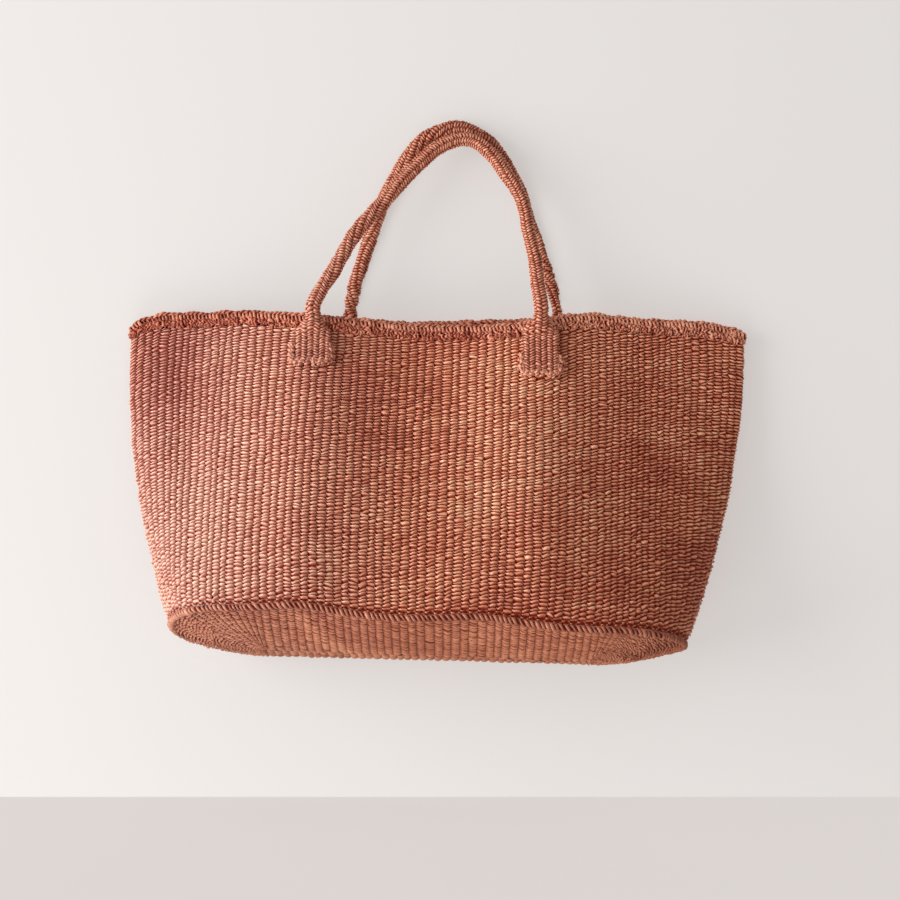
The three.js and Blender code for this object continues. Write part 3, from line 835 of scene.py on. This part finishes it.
def face_point(column, z, distance):
    """A point off the bag's middle surface at a height, carried straight up above the wall's top."""
    line = wall.points[:, column]
    if z < line[-1, 2]:
        place = np.interp(z, line[:, 2], np.arange(LEVELS + 1))
        low = min(int(place), LEVELS - 1)
        normal = lerp(wall.normals[low, column], wall.normals[low + 1, column], place - low)
        middle = lerp(line[low], line[low + 1], place - low)
    else:
        normal = wall.normals[-1, column] * np.array([1, 1, 0])
        middle = np.array([line[-1, 0], line[-1, 1], z])
    normal = unit(normal)
    on_rim = smoothstep(z, line[-1, 2] - RIM_HEIGHT, line[-1, 2])
    face = lerp(WALL_THICKNESS / 2, RIM_THICKNESS / 2, on_rim)
    return middle + normal * (face + distance), normal


tab_top_z = HINGE_Z - HANDLE_DIAMETER / 2 - CLEARANCE


def strap_path(side, line, apex_y):
    """The strap's centre line from one tab's lower edge to the other's, and the way its face looks."""
    is_front = side == "front"
    tab_middle = TAB_STAND_OFF + CLEARANCE + TAB_THICKNESS / 2
    tabs = []
    for end, (x, _) in (("left", line[0]), ("right", line[-1])):
        column = column_at(x, is_front)
        depths = np.linspace(TAB_HEIGHTS[f"{side}_{end}"], 0, 8)
        rows = [face_point(column, tab_top_z - drop, tab_middle)[0] for drop in depths]
        tabs.append([np.array([x, row[1], row[2]]) for row in rows])
    left, right = tabs
    proud = (TAB_THICKNESS / 2 - 0.6) * (-1 if is_front else 1)
    top = max(z for _, z in line)
    middle = []
    for k, (x, z) in enumerate(line):
        end_y = lerp(left[-1][1], right[-1][1], k / (len(line) - 1)) + proud
        middle.append(np.array([x, lerp(end_y, apex_y, (z - HINGE_Z) / (top - HINGE_Z)), z]))
    return np.array(left + middle + right[::-1])


def strap_section(height, flat, radius, turn, face_rib, back_rib):
    """How far aside and out of its path each point lies, as the strap rolls up and its arc closes."""
    arc = TURN * 0.985 * (1 - flat)
    width = lerp(TURN * radius, TAB_WIDTH - 0.5, flat)
    curve = np.maximum(arc, 0.02)
    bend = (width / curve)[:, None]
    theta = (face_rib[None] / STRAP_RIBS - 0.5) * curve[:, None]
    middle = bend * (1 + np.cos(np.minimum(curve, TURN) / 2))[:, None] / 2
    lift = height + lerp(0, TAB_THICKNESS / 2 - 0.2, flat)[:, None]
    face_side = (bend + lift) * np.sin(theta)
    face_out = (bend + lift) * np.cos(theta) - middle
    edge = np.abs(2 * face_rib / STRAP_RIBS - 1)[None] ** 8
    face_out = face_out - 1.1 * edge * flat[:, None]
    share = back_rib[None] - STRAP_RIBS
    back_side = lerp(face_side[:, -1:], face_side[:, :1], share)
    back_out = lerp(face_out[:, -1:], face_out[:, :1], share)
    sink = np.sin(math.pi * share) * lerp(0.9, 0.6, flat)[:, None]
    sink = sink + lerp(0, TAB_THICKNESS - 1.6, flat)[:, None]
    inward = np.where(arc[:, None] > math.pi, 1, -1)
    back_out = back_out + inward * sink * np.abs(np.cos(curve / 2))[:, None]
    side_way = np.hstack([face_side, back_side])
    out_way = np.hstack([face_out, back_out])
    c, s = np.cos(turn)[:, None], np.sin(turn)[:, None]
    return side_way * c + out_way * s, out_way * c - side_way * s


def make_strap(side, line, apex_y, turns, sizes, seed, material):
    """Along the strap's length, turns say how far it is twisted, and sizes its radius where it is rolled."""
    path = smooth_line(strap_path(side, line, apex_y), STRAP_ROW_PITCH / OUTER_STEPS)
    count = len(path) - (len(path) - 1) % OUTER_STEPS
    path = path[:count]
    facing = np.array([0, -1.0 if side == "front" else 1.0, 0])
    along, out, aside = path_frames(path, np.broadcast_to(facing, path.shape), False)
    if side == "front":
        aside = -aside
    travelled = lengths_along(path)
    flat = 1 - smoothstep(path[:, 2], *STRAP_ROLL_Z[side])
    random = default_rng(seed)
    sway = sum(random.normal(0, 0.16) * np.sin(travelled / length + random.uniform(0, 6.28))
               for length in (11, 17, 29, 43))
    turn = TURN * smooth_steps(travelled, turns) + sway * (1 - flat)
    face_rib = np.linspace(0, STRAP_RIBS, STRAP_RIBS * COLUMNS + 1)
    back_rib = np.linspace(STRAP_RIBS, STRAP_RIBS + 1, STRAP_BACK_COLUMNS + 2)[1:-1]
    rib, row = np.meshgrid(np.append(face_rib, back_rib), np.arange(count) / OUTER_STEPS)
    face = slice(None, len(face_rib))
    shift, height, tone, hollow = twine(
        np.minimum(rib[:, face], STRAP_RIBS - 1e-4), row[:, face], STRAP_RIBS, STRAP_RELIEF,
        STRAP_SLANT, seed, groove=1.0, course=0.75, chevron=True)
    radius = smooth_steps(travelled, sizes)
    side_way, out_way = strap_section(height, flat, radius, turn, face_rib, back_rib)
    pad = lambda values, fill: np.hstack([values, np.full((count, len(back_rib)), fill)])
    slide = pad(np.clip(shift * STRAP_ROW_PITCH, -1, 1), 0.0)
    slide[:2] = slide[-2:] = 0
    points = (path[:, None] + out[:, None] * out_way[..., None] + aside[:, None] * side_way[..., None]
              + along[:, None] * slide[..., None])
    faces = grid_faces(*rib.shape)
    weave = corner_pairs(np.hstack([rib, rib[:, :1] + STRAP_RIBS + 1]), np.hstack([row, row[:, :1]]))
    bake = folded_strip(weave, row.max(), STRAP_STRIPS, STRAP_RIBS + 1)
    if side == "front":
        faces, weave, bake = faces[:, ::-1], weave[:, ::-1], bake[:, ::-1]
    # Painted shade: the strap's back, where its edges roll in, takes a fixed hollowness that the material
    # paints dark.
    piece = new_mesh(f"{side}_strap", points.reshape(-1, 3), faces, loops={"OFBake": bake, "Weave": weave},
                     tone=pad(tone, 0.0), hollow=pad(0.95 * hollow, 0.7))
    cap_ends(piece, *rib.shape)
    nodes = f"{side}_handle", f"{side}_left_tab", f"{side}_right_tab"
    dress(piece, material, "handle_weave", *nodes, body=None)
    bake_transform(piece)


def smooth_steps(places, stops):
    """A value that goes from stop to stop along a line, easing in and out of each."""
    where, values = np.array(stops, float).T
    k = np.clip(np.searchsorted(where, places) - 1, 0, len(where) - 2)
    ease = smoothstep((places - where[k]) / (where[k + 1] - where[k]), 0, 1)
    return lerp(values[k], values[k + 1], ease)


def folded_strip(weave, rows, strips, width):
    """Lays a long strap on the square map in strips side by side."""
    per_strip = rows / strips
    strip = np.minimum(cell(weave[..., 1].min(1, keepdims=True) / per_strip), strips - 1)
    u = (strip + inset(weave[..., 0] / width)) / strips
    v = inset((weave[..., 1] - strip * per_strip) / per_strip)
    return np.stack([u, v], -1)


def cap_ends(piece, count, ring):
    """Closes a tube's two ends."""
    grown = bmesh.new()
    grown.from_mesh(piece.data)
    grown.verts.ensure_lookup_table()
    for first in (0, (count - 1) * ring):
        loop = [grown.verts[first + k] for k in range(ring)]
        face = grown.faces.new(loop if first else loop[::-1])
        face.smooth = True
    bmesh.ops.recalc_face_normals(grown, faces=grown.faces)
    grown.to_mesh(piece.data)
    grown.free()


# Sewing: a cord round each tab's lower edge, whipped over with stitches that crowd at the corners.
STITCH_PLACES = [
    0.03, 0.1, 0.17, 0.22, 0.27, 0.31, 0.38, 0.47, 0.55, 0.63, 0.69, 0.73, 0.78, 0.83, 0.9, 0.97,
]
# The cord's way round a tab, as a share of its half width to either side and a height.
SEWING_ROUTE = [
    (-1, SEWING_CORD_RISE), (-1.02, SEWING_CORD_RISE / 2), (-0.98, 2.5), (-0.8, 0.4), (-0.4, 0), (0, 0.4),
    (0.4, 0), (0.8, 0.3), (1, 2.5), (1.03, SEWING_CORD_RISE / 2), (0.98, SEWING_CORD_RISE),
]


def make_sewing(side, end, x, material):
    is_front = side == "front"
    column = column_at(x, is_front)
    name = f"{side}_{end}"
    radius = SEWING_CORD_DIAMETER / 2
    pitch = np.linalg.norm(wall.top[column] - wall.top[(column + 1) % len(girths)])
    aside = (TAB_WIDTH / 2 + 0.2) / pitch
    foot = tab_top_z - TAB_HEIGHTS[name] - 0.2
    points = []
    direction = 1 if is_front else -1
    for way, rise in SEWING_ROUTE:
        there = (column + int(round(direction * way * aside))) % len(girths)
        point, normal = face_point(there, foot + rise, CLEARANCE + radius + SEWING_STAND_OFF)
        points.append(np.concatenate([point, normal]))
    path = smooth_line(np.array(points), 0.7)
    stitches = [rope(path, False, seed=len(name), **SEWING_TWIST)]
    random = default_rng(21 + len(name))
    for place in STITCH_PLACES:
        k = int(np.clip(place + random.uniform(-0.012, 0.012), 0, 1) * (len(path) - 1))
        centre, normal = path[k, :3], path[k, 3:]
        ahead = unit(path[min(k + 2, len(path) - 1), :3] - path[max(k - 2, 0), :3])
        across = unit(np.cross(normal, ahead))
        skew = random.uniform(0.1, 0.8)
        reach = random.uniform(2.2, 3.2)
        height = random.uniform(2.6, 3.4)
        loop = [centre + across * reach * math.cos(a) + ahead * skew * reach * math.cos(a)
                + normal * (height * math.sin(a) - 1.2) for a in np.linspace(-0.1, math.pi + 0.1, 12)]
        loop = smooth_line(np.array(loop), 0.7)
        loop = np.hstack([loop, np.broadcast_to(normal, loop.shape)])
        stitches.append(rope(loop, False, seed=k, **STITCH_TWIST))
    piece = rope_piece(f"{name}_stitching", stitches)
    dress(piece, material, "sewing_cord", f"{name}_sewing_cord")


# Materials. Each yarn has a light, a middle, a dark and a pit tone; the pit tone is painted shade, and a
# pale tint of painted light lies over the front's left end.
PAINTED_LIGHT_TINT = (0.7, 0.5, 0.44, 1)
SIDE_TONES = (252, 196, 152), (228, 128, 84), (174, 72, 36), (116, 22, 6)
BASE_TONES = (218, 142, 104), (184, 102, 68), (132, 58, 34), (96, 26, 12)
RIM_TONES = (238, 164, 132), (194, 104, 76), (140, 54, 34), (84, 12, 8)
HANDLE_TONES = (244, 178, 140), (216, 122, 84), (160, 68, 38), (104, 26, 10)
CORD_TONES = (238, 160, 122), (200, 106, 70), (136, 50, 28), (76, 12, 6)


def srgb(red, green, blue):
    channel = lambda c: c / 12.92 if c <= 0.04045 else ((c + 0.055) / 1.055) ** 2.4
    return (*(channel(c / 255) for c in (red, green, blue)), 1)


class Nodes:
    """A short way to write a node tree."""

    def __init__(self, name):
        self.material = bpy.data.materials.new(name)
        self.material.use_nodes = True
        self.tree = self.material.node_tree
        self.tree.nodes.clear()

    def add(self, kind, inputs, **settings):
        node = self.tree.nodes.new("ShaderNode" + kind)
        for key, value in settings.items():
            setattr(node, key, value)
        for key, value in inputs.items():
            if isinstance(value, bpy.types.NodeSocket):
                self.tree.links.new(value, node.inputs[key])
            else:
                node.inputs[key].default_value = value
        return node

    def value(self, name):
        return self.add("Attribute", {}, attribute_name=name).outputs["Fac"]

    def maths(self, operation, *values):
        return self.add("Math", dict(enumerate(values)), operation=operation).outputs[0]

    def mix(self, share, a, b):
        return self.add("Mix", {0: share, 6: a, 7: b}, data_type="RGBA").outputs[2]

    def noise(self, vector, scale, detail, roughness):
        inputs = {"Vector": vector, "Scale": scale, "Detail": detail, "Roughness": roughness}
        return self.add("TexNoise", inputs).outputs["Fac"]

    def spread(self, value, low, high, to_low=0.0, to_high=1.0):
        inputs = {"Value": value, "From Min": low, "From Max": high, "To Min": to_low, "To Max": to_high}
        return self.add("MapRange", inputs).outputs["Result"]


def sisal(name, colours, weave_map=True, shine=1.0, pale=0.5):
    """Dyed sisal: strands of several tones with fine fibres along them, painted shade in the pits between
    and painted light over the front's left end.
    """
    made = Nodes(name)
    light, middle, dark, pit_shade = (srgb(*colour) for colour in colours)
    place = made.add("TexCoord", {}).outputs["Object"]
    tone = made.value("tone")
    hollow = made.value("hollow")
    if weave_map:
        weave = made.add("UVMap", {}, uv_map="Weave").outputs["UV"]
        stretched = made.add("VectorMath", {0: weave, 1: (1.4, 7.0, 1.0)}, operation="MULTIPLY")
        fibres = made.noise(stretched.outputs[0], 1.0, 3.0, 0.6)
    else:
        fibres = made.noise(place, 900.0, 3.0, 0.6)
    patches = made.noise(place, 22.0, 3.0, 0.55)
    specks = made.noise(place, 260.0, 2.0, 0.5)
    # Painted shade and highlight: the hollows darken the tone and the crests lighten it a little; fibres,
    # patches and specks are the yarn's own.
    level = made.maths("MULTIPLY_ADD", tone, 0.1, 0.68)
    for source, *reach in ((hollow, 0.05, 0.7, 0.04, -0.42), (fibres, 0.3, 0.7, -0.22, 0.22),
                           (patches, 0.3, 0.7, -0.11, 0.11), (specks, 0.35, 0.65, -0.08, 0.08)):
        level = made.maths("ADD", level, made.spread(source, *reach))
    ramp = made.add("ValToRGB", {"Fac": level})
    stops = ramp.color_ramp.elements
    stops[0].position, stops[0].color = 0.12, dark
    stops[1].position, stops[1].color = 0.9, light
    centre = stops.new(0.5)
    centre.color = middle
    # Painted shade: the deeper hollows take the dark pit tone.
    pit_shade_share = made.spread(hollow, 0.35, 0.9)
    parts = made.add("SeparateXYZ", {0: place}).outputs
    # Painted light: a pale tint over the front's left end, stronger on the lighter strands, stands in for
    # the window's light and sheen there; pale sets how much of it a yarn takes.
    fade = made.maths("MULTIPLY", made.spread(parts["X"], -0.05, -0.25, 0.0, pale),
                      made.spread(parts["Y"], 0.006, -0.014))
    fade = made.maths("MULTIPLY", fade, made.spread(level, 0.05, 0.55, 0.3, 1.0))
    colour = made.mix(fade, ramp.outputs["Color"], PAINTED_LIGHT_TINT)
    colour = made.mix(pit_shade_share, colour, pit_shade)
    bump = made.add("Bump", {"Height": fibres, "Strength": 0.45, "Distance": 0.0004})
    shader = made.add("BsdfPrincipled", {
        "Base Color": colour, "Roughness": 0.52, "Normal": bump.outputs["Normal"],
        "Specular IOR Level": made.spread(hollow, 0.1, 0.8, shine, 0.0), "IOR": 1.8,
        "Sheen Weight": 0.1, "Sheen Roughness": 0.5})
    out = made.add("OutputMaterial", {"Surface": shader.outputs["BSDF"]})
    out.is_active_output = True
    return made.material


def plain_stage(name, colour, glow_share):
    """A pale stage surface that shows from its front only, so that it hides nothing from behind."""
    made = Nodes(name)
    facing = made.add("NewGeometry", {}).outputs["Backfacing"]
    paint = made.add("BsdfDiffuse", {"Color": colour})
    glow = made.add("Emission", {"Color": colour, "Strength": 1.0})
    face = made.add("MixShader", {0: glow_share, 1: paint.outputs[0], 2: glow.outputs[0]})
    clear = made.add("BsdfTransparent", {})
    shader = made.add("MixShader", {0: facing, 1: face.outputs[0], 2: clear.outputs[0]})
    made.add("OutputMaterial", {"Surface": shader.outputs[0]})
    return made.material


# Stage, lights and camera.
WALL_BEHIND_Y = 13
FLOOR_Z = -577
STAGE_REACH = 5000


def stage_plane(name, corners, material):
    mesh = bpy.data.meshes.new(name)
    mesh.from_pydata([tuple(c * MM for c in corner) for corner in corners], [], [(0, 1, 2, 3)])
    mesh.materials.append(material)
    plane = add_object(name, mesh)
    for ray in ("diffuse", "glossy", "transmission", "shadow"):
        setattr(plane, f"visible_{ray}", False)


def make_stage():
    reach, y, z = STAGE_REACH, WALL_BEHIND_Y, FLOOR_Z
    pale = plain_stage("pale_wall", srgb(229, 226, 224), 0.55)
    floor = plain_stage("pale_floor", srgb(224, 218, 215), 0.8)
    stage_plane("backdrop", [(-reach, y, z), (reach, y, z), (reach, y, reach), (-reach, y, reach)], pale)
    stage_plane("floor", [(-reach, -reach, z), (reach, -reach, z), (reach, y, z), (-reach, y, z)], floor)


def area_light(name, place, target, size, power, colour):
    data = bpy.data.lights.new(name, "AREA")
    data.shape = "DISK"
    data.size = size
    data.energy = power
    data.color = colour
    light = add_object(name, data)
    light.location = place
    light.rotation_euler = (Vector(target) - Vector(place)).to_track_quat("-Z", "Y").to_euler()


def make_lights():
    world = bpy.data.worlds.new("studio")
    scene.world = world
    world.use_nodes = True
    world.cycles_visibility.glossy = False
    background = world.node_tree.nodes["Background"]
    background.inputs["Color"].default_value = (1.0, 0.955, 0.91, 1)
    background.inputs["Strength"].default_value = 0.56
    area_light("window", (-2.05, -1.0, -0.1), (0, 0, -0.3), 2.0, 57, (1.0, 0.99, 0.985))
    area_light("bounce", (-0.5, -0.8, -1.5), (0, -0.08, -0.4), 1.2, 8, (1.0, 0.96, 0.92))
    area_light("behind", (0.6, 2.4, 0.3), (0, 0, -0.3), 2.0, 30, (1.0, 0.985, 0.97))


def make_camera():
    data = bpy.data.cameras.new("camera")
    data.sensor_width = 36
    data.lens = data.sensor_width * CAMERA_DISTANCE / VIEW_WIDTH
    data.clip_start = 0.05
    data.clip_end = 50
    camera = add_object("camera", data)
    camera.location = (CAMERA_X * MM, -CAMERA_DISTANCE * MM, CAMERA_Z * MM)
    camera.rotation_euler = (math.pi / 2, 0, 0)
    scene.camera = camera


def main():
    make_camera()
    make_lights()
    make_stage()
    # Each material's pale share sets how much painted light lies over the front's left end.
    side = sisal("side_sisal", SIDE_TONES)
    base = sisal("base_sisal", BASE_TONES, shine=0.5, pale=0.12)
    rim = sisal("rim_sisal", RIM_TONES, shine=0.3, pale=0)
    twist = sisal("twist_sisal", RIM_TONES, weave_map=False, shine=0.3, pale=0)
    handle = sisal("handle_sisal", HANDLE_TONES, pale=0.24)
    cord = sisal("cord_sisal", CORD_TONES, weave_map=False, pale=0.2)
    make_side(side)
    make_base(base)
    make_base_braid(base)
    make_rim(rim)
    make_rim_braid(twist)
    make_strap("front", FRONT_HANDLE_LINE, FRONT_APEX_Y, FRONT_TURNS, FRONT_SIZES, 2, handle)
    make_strap("back", BACK_HANDLE_LINE, BACK_APEX_Y, BACK_TURNS, BACK_SIZES, 3, handle)
    for side_name, line in (("front", FRONT_HANDLE_LINE), ("back", BACK_HANDLE_LINE)):
        make_sewing(side_name, "left", line[0][0], cord)
        make_sewing(side_name, "right", line[-1][0], cord)


main()
scene.view_settings.view_transform = "Standard"
